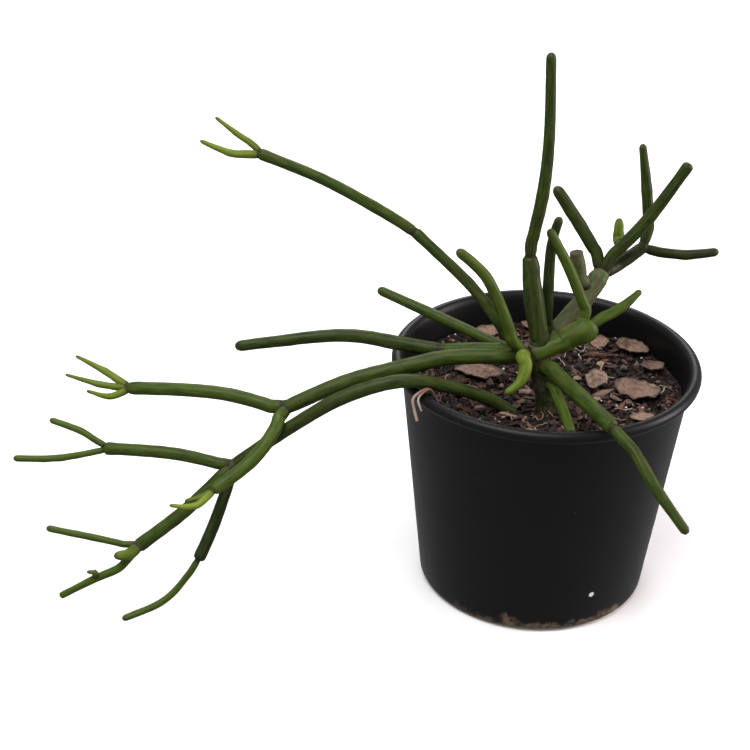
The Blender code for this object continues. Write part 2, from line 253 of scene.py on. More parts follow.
# %% Centre lines from the plain stems
FULLNESS = 1.13  # the plain stems are slimmer than real ones, partly because of their flat sides
CLOSE_PAIR = {"left_branch_lower": 1.02, "low_branch": 1.02}  # these lie 0.3 mm apart
CUT_STEP, FIRST_CUT = 4.0 * MM, 4.0 * MM
REFINEMENTS = 2


def travel(start):
    """Distance over the edges from one vertex to every other."""
    reach, waiting = {}, [(0.0, start.index, start)]
    while waiting:
        distance, _, vert = heapq.heappop(waiting)
        if vert in reach:
            continue
        reach[vert] = distance
        for edge in vert.link_edges:
            other = edge.other_vert(vert)
            if other not in reach:
                heapq.heappush(waiting, (distance + edge.calc_length(), other.index, other))
    return reach


def cut_across(edges, value, about=None, far=0.0):
    """Middle and radius of the ring where a function of the vertices is zero, near a point."""
    cuts = []
    for one, two in edges:
        a, b = value(one), value(two)
        if a * b < 0:
            spot = one.co.lerp(two.co, a / (a - b))
            if about is None or (spot - about).length < far:
                cuts.append(spot)
    centre = sum(cuts, Vector()) / len(cuts)
    return centre, sum((c - centre).length for c in cuts) / len(cuts)


def rings_of(name):
    """Ordered (centre, radius) along a plain tube, and its two end points."""
    shape = bmesh.new()
    shape.from_mesh(nodes[name].data)
    bmesh.ops.remove_doubles(shape, verts=shape.verts[:], dist=1e-6)
    shape.verts.index_update()
    shape.verts.ensure_lookup_table()
    edges = [tuple(edge.verts) for edge in shape.edges]
    reach = travel(shape.verts[0])
    reach = travel(max(reach, key=reach.get))
    total = max(reach.values())
    skip = min(FIRST_CUT, 0.45 * total)
    count = max(2, round((total - 2 * skip) / CUT_STEP) + 1)
    levels = [skip + (total - 2 * skip) * k / (count - 1) for k in range(count)]
    rings = [cut_across(edges, lambda v: reach[v] - level) for level in levels]
    for _ in range(REFINEMENTS):
        better = []
        for i, (centre, radius) in enumerate(rings):
            way = (rings[min(i + 1, count - 1)][0] - rings[max(i - 1, 0)][0]).normalized()
            better.append(cut_across(edges, lambda v: (v.co - centre).dot(way), centre,
                                     2.5 * radius))
        rings = better
    ends = []
    for (here, radius), (inner, other) in ((rings[0], rings[1]), (rings[-1], rings[-2])):
        way = (here - inner).normalized()
        near = [v.co for v in shape.verts if (v.co - here).length < skip * 1.5 + radius]
        ends.append(here + way * max((c - here).dot(way) for c in near))
    shape.free()
    fuller = CLOSE_PAIR.get(name, FULLNESS)
    return [(centre, radius * fuller) for centre, radius in rings], ends


print("tall_stem_top has", len(rings_of("tall_stem_top")[0]), "rings")

# %% [markdown]
# ## Which segment grew from which
#
# A segment's skin has to run into the one it grew from, without the small gap that the
# plain solids keep. This table gives each segment's parent, its age from 0 for new growth
# to 1 for cork, and how light or dark its green is painted. That last value is partly the
# stem's own tone and partly painted shadow: stems that stand in shadow, such as those at
# the back and inside the clump, are given low values.

# %% The family tree
FAMILY = {
    "tall_stem_base": ("trunk", 0.62, 0.45),
    "tall_stem_top": ("tall_stem_base", 0.50, 0.30),
    "back_shoot": ("trunk", 0.60, 0.25),
    "thick_stub": ("trunk", 0.42, 0.62),
    "stub_shoot_left": ("thick_stub", 0.38, 0.62),
    "stub_shoot_right": ("thick_stub", 0.40, 0.55),
    "woody_stem": ("trunk", 0.95, 0.60),
    "woody_shoot_left": ("woody_stem", 0.60, 0.38),
    "woody_shoot_right": ("woody_stem", 0.52, 0.30),
    "woody_shoot_rear": ("woody_stem", 0.66, 0.10),
    "rear_shoot_tall": ("woody_shoot_rear", 0.50, 0.28),
    "rear_shoot_side": ("woody_shoot_rear", 0.62, 0.18),
    "small_rear_shoot": ("woody_shoot_right", 0.10, 0.45),
    "cut_stub": ("woody_stem", 0.98, 0.55),
    "upper_left_stem": ("trunk", 0.52, 0.38),
    "upper_left_stem_end": ("upper_left_stem", 0.46, 0.40),
    "upper_left_tip_straight": ("upper_left_stem_end", 0.12, 0.60),
    "upper_left_tip_curved": ("upper_left_stem_end", 0.08, 0.66),
    "curled_left_shoot": ("trunk", 0.38, 0.62),
    "rear_left_shoot": ("trunk", 0.45, 0.50),
    "long_left_stem_base": ("trunk", 0.45, 0.58),
    "long_left_stem": ("long_left_stem_base", 0.55, 0.38),
    "left_branch": ("trunk", 0.52, 0.60),
    "left_branch_upper": ("left_branch", 0.42, 0.58),
    "left_upper_tip_high": ("left_branch_upper", 0.10, 0.62),
    "left_upper_tip_middle": ("left_branch_upper", 0.12, 0.58),
    "left_upper_tip_low": ("left_branch_upper", 0.08, 0.66),
    "left_branch_lower": ("left_branch", 0.36, 0.55),
    "left_lower_tip_short": ("left_branch_lower", 0.12, 0.45),
    "left_lower_tip_long": ("left_branch_lower", 0.03, 0.80),
    "low_branch": (None, 0.58, 0.42),
    "low_branch_outer": ("low_branch", 0.42, 0.48),
    "low_outer_tip_high": ("low_branch_outer", 0.26, 0.50),
    "low_outer_tip_low": ("low_branch_outer", 0.28, 0.52),
    "low_branch_middle": ("low_branch", 0.48, 0.48),
    "low_middle_tip_high": ("low_branch_middle", 0.26, 0.45),
    "low_middle_stub": ("low_branch_middle", 0.18, 0.60),
    "low_middle_tip_low": ("low_branch_middle", 0.30, 0.50),
    "low_middle_bud": ("low_middle_tip_low", 0.20, 0.60),
    "low_branch_inner": ("low_branch", 0.60, 0.15),
    "low_inner_tip": ("low_branch_inner", 0.30, 0.42),
    "front_right_stem": ("trunk", 0.50, 0.52),
    "front_right_stem_end": ("front_right_stem", 0.48, 0.44),
    "front_shoot": ("trunk", 0.38, 0.55),
    "young_curled_shoot": ("trunk", 0.14, 0.60),
}
YOUNG, WOODY = 0.21, 0.9
PARENTS = {parent for parent, age, shade in FAMILY.values()}


def nearest(path, point, keep=0.0):
    """The sample of a path nearest to a point, leaving out a last stretch of given length."""
    allowed = [s for s in path if s[2] <= path[-1][2] - keep] or path[:1]
    return min(allowed, key=lambda s: (s[0] - point).length)


def measured(line):
    """Adds the distance travelled to each (centre, radius) of a line."""
    path, travelled = [], 0.0
    for i, (centre, radius) in enumerate(line):
        if i:
            travelled += (centre - line[i - 1][0]).length
        path.append((centre, radius, travelled))
    return path


def smooth_line(line, step):
    """Resamples a line along a curve through its points, about one sample each step."""
    made = [line[0]]
    for i in range(len(line) - 1):
        (b, rb), (c, rc) = line[i], line[i + 1]
        a = line[i - 1][0] if i else b * 2 - c
        d = line[i + 2][0] if i + 2 < len(line) else c * 2 - b
        count = max(1, round((c - b).length / step))
        for k in range(1, count + 1):
            t = k / count
            point = 0.5 * (2 * b + (c - a) * t + (2 * a - 5 * b + 4 * c - d) * t * t
                           + (3 * b - a - 3 * c + d) * t ** 3)
            made.append((point, rb + (rc - rb) * t))
    return made


STEP = 1.0 * MM
INTO_SOIL = 9.0 * MM


def trunk_line():
    rings, ends = rings_of("trunk")
    if rings[0][0].z > rings[-1][0].z:
        rings.reverse()
    return smooth_line(rings, STEP)


def stem_line(name, paths):
    """A stem's line from inside its parent to its tip, and how far along its skin shows."""
    parent = FAMILY[name][0]
    root_path = paths[parent or "trunk"]
    rings, ends = rings_of(name)
    away = [(nearest(root_path, e)[0] - e).length for e in ends]
    if away[0] > away[1]:
        rings.reverse()
        ends.reverse()
    first = rings[0][0]
    rings[0] = (first, max(rings[0][1], rings[1][1]))
    if parent is None:
        start = ends[0] + (ends[0] - first).normalized() * INTO_SOIL
        seam = INTO_SOIL
    else:
        end_radius = root_path[-1][1]
        hit = nearest(root_path, first, 0.8 * end_radius)
        start = hit[0]
        seam = min(hit[1] * 0.95, (first - start).length * 0.8)
    if FAMILY[name][1] < YOUNG:
        rings = [(centre, radius * (1.32 - 0.42 * i / (len(rings) - 1)))
                 for i, (centre, radius) in enumerate(rings)]
    if name == "thick_stub":
        widest = max(radius for centre, radius in rings)
        rings = [(centre, widest * (0.74 + 0.26 * i / (len(rings) - 1)))
                 for i, (centre, radius) in enumerate(rings)]
        start = first - (rings[1][0] - first).normalized() * (first - start).length
        seam = 0.0
    line = [(start, rings[0][1] * 0.97)] + rings + [(ends[1], rings[-1][1])]
    return smooth_line(line, STEP), seam


paths = {"trunk": measured(trunk_line())}
seams = {"trunk": 0.0}
for name in FAMILY:
    line, seams[name] = stem_line(name, paths)
    paths[name] = measured(line)
print(len(paths), "lines,", round(sum(p[-1][2] for p in paths.values()) * 1000), "mm in all")

# %% [markdown]
# ## Growing the skin with Geometry Nodes
#
# A stem is a circle swept along a line, which is what Curve to Mesh does. The line goes in
# as a thin mesh of points and edges that carries each point's width, its distance from the
# base and its distance from the tip. The tree turns it into a curve, gives it a slightly
# uneven girth, and sweeps the circle along it. The circle's own points are stored too, so
# that the material can draw streaks that run lengthwise without a seam.

# %% The stem-growing tree


def new_tree(name, inputs):
    """A Geometry Nodes tree with a mesh in and out, and the named inputs in between."""
    tree = bpy.data.node_groups.new(name, "GeometryNodeTree")
    tree.interface.new_socket("Geometry", in_out="INPUT", socket_type="NodeSocketGeometry")
    for label, (kind, value) in inputs.items():
        socket = tree.interface.new_socket(label, in_out="INPUT", socket_type=kind)
        if value is not None:
            socket.default_value = value
    tree.interface.new_socket("Geometry", in_out="OUTPUT", socket_type="NodeSocketGeometry")
    return tree, tree.nodes.new("NodeGroupInput").outputs, tree.nodes.new("NodeGroupOutput")


def named(tree, label, kind="FLOAT"):
    """Reads a named attribute, returned as its socket."""
    made = node(tree, "GeometryNodeInputNamedAttribute", {"data_type": kind}, Name=label)
    return made.outputs["Attribute"]


def store(tree, geometry, label, value, kind="FLOAT", domain="POINT"):
    """Writes a named attribute, returned as the geometry that carries it."""
    made = node(tree, "GeometryNodeStoreNamedAttribute", {"data_type": kind, "domain": domain},
                Geometry=geometry, Name=label, Value=value)
    return made.outputs["Geometry"]


def finish_tree(tree, geometry, material_socket, output):
    """Every tree ends the same way: instances made real, then the material."""
    real = node(tree, "GeometryNodeRealizeInstances", Geometry=geometry)
    painted = node(tree, "GeometryNodeSetMaterial", Geometry=real.outputs["Geometry"],
                   Material=material_socket)
    tree.links.new(painted.outputs["Geometry"], output.inputs[0])


def stem_tree():
    tree, given, output = new_tree("grow_stem", {
        "Sides": ("NodeSocketInt", 20),
        "Unevenness": ("NodeSocketFloat", 0.05),
        "Age": ("NodeSocketFloat", 0.5),
        "Shade": ("NodeSocketFloat", 0.5),
        "Seam": ("NodeSocketFloat", 0.0),
        "Material": ("NodeSocketMaterial", None),
    })
    curve = node(tree, "GeometryNodeMeshToCurve", Mesh=given["Geometry"]).outputs["Curve"]
    wobble = node(tree, "ShaderNodeTexNoise", Scale=130.0, Detail=1.0).outputs["Fac"]
    swing = maths(tree, "MULTIPLY", maths(tree, "SUBTRACT", wobble, 0.5), given["Unevenness"])
    width = maths(tree, "MULTIPLY", named(tree, "width"), maths(tree, "ADD", swing, 1.0))
    curve = node(tree, "GeometryNodeSetCurveRadius", Curve=curve, Radius=width).outputs["Curve"]
    circle = node(tree, "GeometryNodeCurvePrimitiveCircle", Resolution=given["Sides"], Radius=1.0)
    spoke = node(tree, "GeometryNodeInputPosition").outputs["Position"]
    circle = store(tree, circle.outputs["Curve"], "spoke", spoke, "FLOAT_VECTOR")
    radius = node(tree, "GeometryNodeInputRadius").outputs["Radius"]
    sweep = node(tree, "GeometryNodeCurveToMesh", Curve=curve, Profile_Curve=circle,
                 Scale=radius, Fill_Caps=True)
    skin = node(tree, "GeometryNodeSetShadeSmooth", Geometry=sweep.outputs["Mesh"]).outputs[0]
    for label in ("Age", "Shade", "Seam"):
        skin = store(tree, skin, label.lower(), given[label])
    finish_tree(tree, skin, given["Material"], output)
    return tree


def set_inputs(modifier, values):
    """Sets a tree's inputs by their identifiers, looked up from their names."""
    for item in modifier.node_group.interface.items_tree:
        if item.in_out == "INPUT" and item.name in values:
            modifier[item.identifier] = values[item.name]


def apply_tree(host, tree, values):
    """Runs a tree on a host object and leaves its result as the object's plain mesh."""
    modifier = host.modifiers.new("tree", "NODES")
    modifier.node_group = tree
    set_inputs(modifier, values)
    bpy.context.view_layer.update()
    depsgraph = bpy.context.evaluated_depsgraph_get()
    result = bpy.data.meshes.new_from_object(host.evaluated_get(depsgraph))
    host.modifiers.remove(modifier)
    host.data = result
    result.name = host.name
    return host


def mesh_from(shape, name):
    """Turns a finished bmesh into a mesh and frees the bmesh."""
    mesh = bpy.data.meshes.new(name)
    shape.to_mesh(mesh)
    shape.free()
    return mesh


def add_piece(name, mesh):
    """Puts a mesh in the scene as an object."""
    thing = bpy.data.objects.new(name, mesh)
    bpy.context.scene.collection.objects.link(thing)
    return thing


def thread(name, lines):
    """A mesh of points and edges along lines of (centre, width, along, ahead)."""
    points, edges, widths, along, ahead = [], [], [], [], []
    for line in lines:
        first = len(points)
        for i, (centre, width, behind, left) in enumerate(line):
            points.append(centre)
            widths.append(width)
            along.append(behind)
            ahead.append(left)
            if i:
                edges.append((first + i - 1, first + i))
    mesh = bpy.data.meshes.new(name)
    mesh.from_pydata(points, edges, [])
    for label, values in (("width", widths), ("along", along), ("ahead", ahead)):
        mesh.attributes.new(label, "FLOAT", "POINT").data.foreach_set("value", values)
    return add_piece(name, mesh)


grow = stem_tree()
print("tree", grow.name, "has", len(grow.nodes), "nodes")

# %% [markdown]
# ## Skin
#
# The skin of a pencil stem is smooth and waxy. Its green runs in faint lengthwise streaks,
# because the wax is stretched as the stem grows, and it is mottled with small scars. New
# growth is yellow-green, old growth turns grey and corky from the base up. Each joint is a
# pinched, dark brown line, and each growing tip ends in a dry, dark point. One material
# holds all of that and reads the attributes that the tree stored.

# %% Stem material


def attribute(tree, label):
    made = node(tree, "ShaderNodeAttribute", {"attribute_name": label})
    return made.outputs["Fac"]


def streak_vector(tree, lengthwise):
    """The stem's own round coordinates, squeezed along its length so that noise runs in streaks."""
    spoke = node(tree, "ShaderNodeAttribute", {"attribute_name": "spoke"}).outputs["Vector"]
    parts = node(tree, "ShaderNodeSeparateXYZ", Vector=spoke)
    run = maths(tree, "MULTIPLY", attribute(tree, "along"), lengthwise)
    offset = maths(tree, "MULTIPLY", attribute(tree, "shade"), 37.0)
    made = node(tree, "ShaderNodeCombineXYZ", X=parts.outputs["X"], Y=parts.outputs["Y"],
                Z=maths(tree, "ADD", run, offset))
    return made.outputs["Vector"]


def stem_material():
    made, tree, shader = new_material("stem_skin", Specular_IOR_Level=0.13)
    where = node(tree, "ShaderNodeTexCoord").outputs["Object"]
    age, shade = attribute(tree, "age"), attribute(tree, "shade")
    along, ahead, seam = (attribute(tree, k) for k in ("along", "ahead", "seam"))

    streaks = noise_at(tree, streak_vector(tree, 45.0), 2.2, 4.0, 0.6)
    blotches = noise_at(tree, where, 160.0, 4.0, 0.6)
    dark = ramp(tree, age, [(0.0, (0.095, 0.130, 0.012)), (0.25, (0.036, 0.060, 0.006)),
                            (0.50, (0.015, 0.026, 0.004)), (0.75, (0.013, 0.018, 0.005)),
                            (1.0, (0.040, 0.054, 0.018))])
    light = ramp(tree, age, [(0.0, (0.200, 0.262, 0.026)), (0.25, (0.088, 0.134, 0.014)),
                             (0.50, (0.058, 0.090, 0.009)), (0.75, (0.046, 0.060, 0.015)),
                             (1.0, (0.125, 0.155, 0.062))])
    # Each stem's value from the table is partly its own tone and partly painted shadow.
    level = maths(tree, "MULTIPLY_ADD", streaks, 2.0, maths(tree, "SUBTRACT", shade, 1.4))
    level = maths(tree, "MULTIPLY_ADD", blotches, 0.5, level, clamp=True)
    green = mix(tree, level, dark, light)

    freckles = node(tree, "ShaderNodeTexVoronoi", Vector=where, Scale=420.0)
    scar = fade(tree, freckles.outputs["Distance"], 0.16, 0.08)
    patch = fade(tree, noise_at(tree, where, 75.0, 2.0), 0.54, 0.66)
    scar = maths(tree, "MULTIPLY", scar, maths(tree, "MULTIPLY_ADD", patch, 0.6, 0.08))
    green = mix(tree, scar, green, (0.075, 0.052, 0.024))

    tan = fade(tree, noise_at(tree, streak_vector(tree, 30.0), 1.6, 4.0, 0.6), 0.52, 0.74)
    green = mix(tree, maths(tree, "MULTIPLY", tan, 0.42), green, (0.060, 0.044, 0.014))

    cork_noise = noise_at(tree, where, 210.0, 5.0, 0.7)
    cork_level = maths(tree, "MULTIPLY", fade(tree, age, 0.55, 1.0), fade(tree, cork_noise, 0.46, 0.62))
    green = mix(tree, cork_level, green, (0.090, 0.072, 0.038))

    from_seam = maths(tree, "ABSOLUTE", maths(tree, "SUBTRACT", along, seam))
    pinch = maths(tree, "MULTIPLY", fade(tree, from_seam, 1.5 * MM, 0.4 * MM), 0.85)
    # A darker band either side of each joint: partly the joint's own darker skin and partly painted shadow
    # at the base of each stem, where it leaves its parent.
    joint_band_and_shadow = maths(tree, "MULTIPLY", fade(tree, from_seam, 6.0 * MM, 1.0 * MM), 0.35)
    green = mix(tree, joint_band_and_shadow, green, (0.035, 0.034, 0.013))
    green = mix(tree, pinch, green, (0.022, 0.016, 0.008))

    tip = fade(tree, ahead, 2.2 * MM, 0.3 * MM)
    green = mix(tree, maths(tree, "MULTIPLY", tip, 0.65), green, (0.055, 0.042, 0.026))

    shine = maths(tree, "MULTIPLY_ADD", blotches, 0.22, 0.33)
    paint(tree, shader, green, maths(tree, "MULTIPLY_ADD", cork_level, 0.3, shine))
    ridges = noise_at(tree, streak_vector(tree, 60.0), 5.0, 2.0)
    relief = maths(tree, "MULTIPLY_ADD", cork_level, 1.2, maths(tree, "MULTIPLY", ridges, 0.6))
    add_relief(tree, shader, relief, 0.35, 0.0003)
    return made


skin = stem_material()
print(skin.name, "has", len(skin.node_tree.nodes), "nodes")

# %% [markdown]
# ## Shaping each stem
#
# The width along a stem says what kind of end it has. Most end in a dome. The thick stub
# was pinched off and healed blunt, and one woody stub was cut. At the seam a stem narrows a
# little, and a segment that carries others swells slightly just before its end.

# %% Grow every stem
DOME_STEPS = 9


def width_at(name, distance, total, radius, seam, carries):
    """Radius with the pinch at the seam and the swelling before a joint."""
    pinch = 0.13 * math.exp(-((distance - seam) / (1.0 * MM)) ** 2) if seam else 0.0
    left = total - distance
    swell = 0.06 * math.exp(-((left - 3.5 * MM) / (2.5 * MM)) ** 2) if carries else 0.0
    return radius * (1.0 - pinch + swell)


def dressed(name):
    """A stem's samples as (centre, width, along, ahead), with its end shaped."""
    path, seam, carries = paths[name], seams[name], name in PARENTS
    total, tip_radius = path[-1][2], path[-1][1]
    young = name in FAMILY and FAMILY[name][1] < YOUNG
    roundness = 0.75 if carries else 2.4 if young else 1.4
    roundness = {"thick_stub": 0.35, "cut_stub": 0.12}.get(name, roundness)
    dome = roundness * tip_radius
    bare = 1.0 if carries else 0.0
    line = []
    for centre, radius, distance in path:
        if distance < total - dome:
            ahead = total - distance + bare
            line.append((centre, width_at(name, distance, total, radius, seam, carries),
                         distance, ahead))
    end, before = path[-1][0], line[-1][0]
    way = (end - before).normalized()
    neck = line[-1][1]
    for k in range(1, DOME_STEPS + 1):
        angle = math.pi / 2 * k / DOME_STEPS
        back = dome * (1 - math.sin(angle))
        width = max(neck * math.cos(angle) ** 0.9, 0.02 * MM)
        line.append((end - way * back, width, total - back, back + bare))
    return line


stems = {}
for name in FAMILY:
    thing = thread(name + "_skin", [dressed(name)])
    age, shade = FAMILY[name][1:]
    apply_tree(thing, grow, {
        "Sides": 24 if paths[name][-1][1] > 1.8 * MM else 16,
        "Unevenness": 0.10 if age > 0.9 else 0.06,
        "Age": age, "Shade": shade, "Seam": seams[name], "Material": skin})
    stems[name] = thing
trunk_skin = thread("trunk_skin", [dressed("trunk")])
# The trunk's very low value here is painted shadow: it stands in shadow under the stems above it.
apply_tree(trunk_skin, grow, {"Sides": 32, "Unevenness": 0.22, "Age": 0.78, "Shade": 0.05,
                              "Seam": 0.0, "Material": skin})
stems["trunk"] = trunk_skin
print(len(stems), "skins,", sum(len(s.data.polygons) for s in stems.values()), "faces")

# %% [markdown]
# ## The pot
#
# A nursery pot is blown or moulded in one piece from thin black plastic: a tapered wall, a
# rounded foot and a rolled rim that stiffens the mouth. It is a turned shape, so its
# profile is spun about the upright axis. The profile follows the plain pot's own sizes,
# with enough segments for a smooth edge.

# %% Turn the pot
POT_SEGMENTS = 160
WALL = 1.6 * MM
FLOOR_THICKNESS = 2.2 * MM
BEAD = 3.0 * MM
FOOT_CORNER = 5.0 * MM
WALL_TOP = POT_HEIGHT - 7.5 * MM


def pot_width(height):
    """Outer radius of the plain pot's wall near a height, by following its slope."""
    ring = [v.co for v in nodes["pot"].data.vertices]
    foot = max(math.hypot(c.x, c.y) for c in ring if c.z < FOOT_CORNER + 0.1 * MM)
    shoulder = max(math.hypot(c.x, c.y) for c in ring if abs(c.z - WALL_TOP) < 0.2 * MM)
    share = (height - FOOT_CORNER) / (WALL_TOP - FOOT_CORNER)
    return foot + share * (shoulder - foot)


FOOT_RADIUS, SHOULDER_RADIUS = pot_width(FOOT_CORNER), pot_width(WALL_TOP)


def arc(centre, radius, start, end, steps):
    """Points (radius, height) on an arc, angles in degrees from straight out."""
    turn = [math.radians(start + (end - start) * i / steps) for i in range(steps + 1)]
    return [(centre[0] + radius * math.cos(a), centre[1] + radius * math.sin(a)) for a in turn]


def pot_profile():
    """Outside from under the foot, over the rolled rim and down the inside to the floor."""
    line = [(0.0, 0.6 * MM), (FOOT_RADIUS * 0.55, 0.6 * MM), (FOOT_RADIUS * 0.57, 0.0)]
    line += arc((FOOT_RADIUS - FOOT_CORNER, FOOT_CORNER), FOOT_CORNER, -90, -4, 8)
    for k in range(1, 12):
        share = k / 12
        height = FOOT_CORNER + share * (WALL_TOP - FOOT_CORNER)
        line.append((FOOT_RADIUS + share * (SHOULDER_RADIUS - FOOT_RADIUS), height))
    line += [(SHOULDER_RADIUS, WALL_TOP), (SHOULDER_RADIUS + 0.3 * MM, WALL_TOP + 1.2 * MM),
             (SHOULDER_RADIUS + 1.4 * MM, WALL_TOP + 1.9 * MM)]
    line += arc((RIM_RADIUS - BEAD, POT_HEIGHT - BEAD), BEAD, -75, 110, 14)
    inner = SHOULDER_RADIUS - WALL
    line += [(inner + 1.1 * MM, POT_HEIGHT - 1.6 * MM), (inner + 0.4 * MM, POT_HEIGHT - 3.6 * MM),
             (inner, WALL_TOP)]
    for k in range(1, 6):
        share = 1 - k / 6
        height = FOOT_CORNER + share * (WALL_TOP - FOOT_CORNER)
        line.append((FOOT_RADIUS + share * (SHOULDER_RADIUS - FOOT_RADIUS) - WALL, height))
    line += [(FOOT_RADIUS - WALL, FLOOR_THICKNESS + 4 * MM),
             (FOOT_RADIUS - WALL - 3 * MM, FLOOR_THICKNESS), (0.0, FLOOR_THICKNESS)]
    return line


def turn_profile(name, profile, segments):
    """Spins a profile whose ends lie on the axis into a closed mesh that faces out."""
    shape = bmesh.new()
    previous = None
    for radius, height in profile:
        if radius < 1e-6:
            ring = [shape.verts.new((0, 0, height))]
        else:
            spin = [2 * math.pi * i / segments for i in range(segments)]
            ring = [shape.verts.new((radius * math.cos(a), radius * math.sin(a), height)) for a in spin]
        if previous:
            for i in range(segments):
                j = (i + 1) % segments
                corners = [previous[i % len(previous)], previous[j % len(previous)],
                           ring[j % len(ring)], ring[i % len(ring)]]
                shape.faces.new(list(dict.fromkeys(corners)))
        previous = ring
    bmesh.ops.recalc_face_normals(shape, faces=shape.faces[:])
    mesh = mesh_from(shape, name)
    mesh.shade_smooth()
    return mesh


pot = add_piece("pot_shell", turn_profile("pot_shell", pot_profile(), POT_SEGMENTS))
print("pot", round(RIM_RADIUS * 2000), "mm across,", len(pot.data.polygons), "faces")

# %% [markdown]
# ## Black plastic
#
# The plastic is not quite black. It is a dark grey with a satin shine that varies where
# hands and dust have been. Mud has dried in a band around the foot, mostly at the front.

# %% Pot material
SPLASH = (0.0300, -0.0502, 0.0210)


def pot_material():
    made, tree, shader = new_material("pot_plastic", Specular_IOR_Level=0.16)
    where = node(tree, "ShaderNodeTexCoord").outputs["Object"]
    parts = node(tree, "ShaderNodeSeparateXYZ", Vector=where)
    cloud = noise_at(tree, where, 28.0, 5.0, 0.6)
    grain = noise_at(tree, where, 900.0, 2.0)
    specks = node(tree, "ShaderNodeTexVoronoi", Vector=where, Scale=170.0)
    sparse = fade(tree, noise_at(tree, where, 60.0, 2.0), 0.60, 0.68)
    dust = maths(tree, "MULTIPLY", fade(tree, specks.outputs["Distance"], 0.12, 0.05), sparse)
    base = mix(tree, cloud, (0.0035, 0.0035, 0.0037), (0.0070, 0.0069, 0.0072))
    base = mix(tree, maths(tree, "MULTIPLY", dust, 0.35), base, (0.12, 0.11, 0.10))

    ragged = maths(tree, "MULTIPLY_ADD", noise_at(tree, where, 75.0, 6.0, 0.7), 0.030, -0.0125)
    height = maths(tree, "ADD", parts.outputs["Z"], maths(tree, "MULTIPLY", ragged, -1.0))
    low = fade(tree, height, 0.0045, -0.0015)
    front = fade(tree, parts.outputs["Y"], -0.005, -0.040)
    front = maths(tree, "MULTIPLY", front, fade(tree, parts.outputs["X"], -0.045, -0.005))
    mud = maths(tree, "MULTIPLY", low, maths(tree, "MULTIPLY_ADD", front, 0.80, 0.12))
    mud_colour = mix(tree, noise_at(tree, where, 400.0, 4.0), (0.070, 0.048, 0.032), (0.340, 0.260, 0.180))
    plastic = mix(tree, mud, base, mud_colour)

    splash = node(tree, "ShaderNodeVectorMath", {"operation": "DISTANCE"}, _0=where, _1=SPLASH)
    drop = fade(tree, splash.outputs["Value"], 0.0017, 0.0010)
    shine = maths(tree, "MULTIPLY_ADD", cloud, 0.20, 0.30)
    paint(tree, shader, mix(tree, drop, plastic, (0.85, 0.83, 0.80)),
          maths(tree, "MULTIPLY_ADD", mud, 0.5, shine))
    relief = maths(tree, "MULTIPLY_ADD", mud, 3.0, maths(tree, "MULTIPLY", grain, 0.25))
    add_relief(tree, shader, relief, 0.25, 0.0003)
    return made


pot.data.materials.append(pot_material())

DRAIN_HOLES, DRAIN_CIRCLE, DRAIN_RADIUS = 6, 38.0 * MM, 4.5 * MM
drills = bmesh.new()
for i in range(DRAIN_HOLES):
    angle = 2 * math.pi * (i + 0.29) / DRAIN_HOLES
    spot = Matrix.Translation((DRAIN_CIRCLE * math.cos(angle), DRAIN_CIRCLE * math.sin(angle), 0))
    bmesh.ops.create_cone(drills, cap_ends=True, segments=32, radius1=DRAIN_RADIUS,
                          radius2=DRAIN_RADIUS, depth=12 * MM, matrix=spot)
drill = add_piece("drills", mesh_from(drills, "drills"))
cut = pot.modifiers.new("drain_holes", "BOOLEAN")
cut.object, cut.operation, cut.solver = drill, "DIFFERENCE", "EXACT"
bpy.context.view_layer.update()
drained = bpy.data.meshes.new_from_object(pot.evaluated_get(bpy.context.evaluated_depsgraph_get()))
pot.modifiers.clear()
pot.data = drained
pot.data.name = "pot_shell"
pot.data.set_sharp_from_angle(angle=math.radians(35))
bpy.data.objects.remove(drill, do_unlink=True)
print("pot with", DRAIN_HOLES, "drain holes")

# %% [markdown]
# ## Soil
#
# The pot is filled with composted bark. Under the loose pieces lies a dark, lumpy ground,
# which is a turned solid with its top pushed up and down by noise. It reaches down to the
# pot's floor, so the drain holes show soil too.

# %% Soil body
GAP = 0.4 * MM
SOIL_BOTTOM = max(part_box("soil")[0].z, FLOOR_THICKNESS + GAP)
SOIL_LEVEL = 107.0 * MM
SOIL_RADIUS = pot_width(SOIL_LEVEL) - WALL - GAP
SOIL_SEGMENTS, SOIL_RINGS = 120, 44


def ground_at(x, y):
    """Height of the soil's surface: broad swells with smaller lumps on them."""
    spot = Vector((x, y, 0.0077)) / (11 * MM)
    swell = 1.6 * noise.noise(spot) + 0.7 * noise.noise(spot * 2.3)
    lumps = 0.8 * noise.noise(spot * 5.1)
    return SOIL_LEVEL + (swell + lumps - 0.6) * MM


def soil_mesh():
    """A turned solid inside the pot, with its flat top pushed into the ground's shape."""
    profile = [(0.0, SOIL_BOTTOM), (FOOT_RADIUS - WALL - 6 * MM, SOIL_BOTTOM)]
    for height in (SOIL_BOTTOM + 8 * MM, SOIL_LEVEL - 4 * MM):
        profile.append((pot_width(height) - WALL - 2 * GAP, height))
    for k in range(SOIL_RINGS, -1, -1):
        profile.append((SOIL_RADIUS * k / SOIL_RINGS, SOIL_LEVEL))
    mesh = turn_profile("soil_body", profile, SOIL_SEGMENTS)
    for vert in mesh.vertices:
        if vert.co.z > SOIL_LEVEL - 1 * MM:
            vert.co.z = ground_at(vert.co.x, vert.co.y)
    return mesh


def soil_material():
    made, tree, shader = new_material("soil_ground", Specular_IOR_Level=0.25, Roughness=0.95)
    where = node(tree, "ShaderNodeTexCoord").outputs["Object"]
    crumbs = node(tree, "ShaderNodeTexVoronoi", Vector=where, Scale=520.0)
    tone = noise_at(tree, where, 240.0, 6.0, 0.7)
    colour = ramp(tree, tone, [(0.30, (0.006, 0.004, 0.003)), (0.52, (0.020, 0.012, 0.009)),
                               (0.66, (0.050, 0.028, 0.020)), (0.80, (0.110, 0.070, 0.050))])
    paint(tree, shader, colour)
    add_relief(tree, shader, maths(tree, "ADD", tone, crumbs.outputs["Distance"]), 0.9, 0.0012)
    return made


soil = add_piece("soil_body", soil_mesh())
soil.data.materials.append(soil_material())
print("soil", len(soil.data.polygons), "faces")
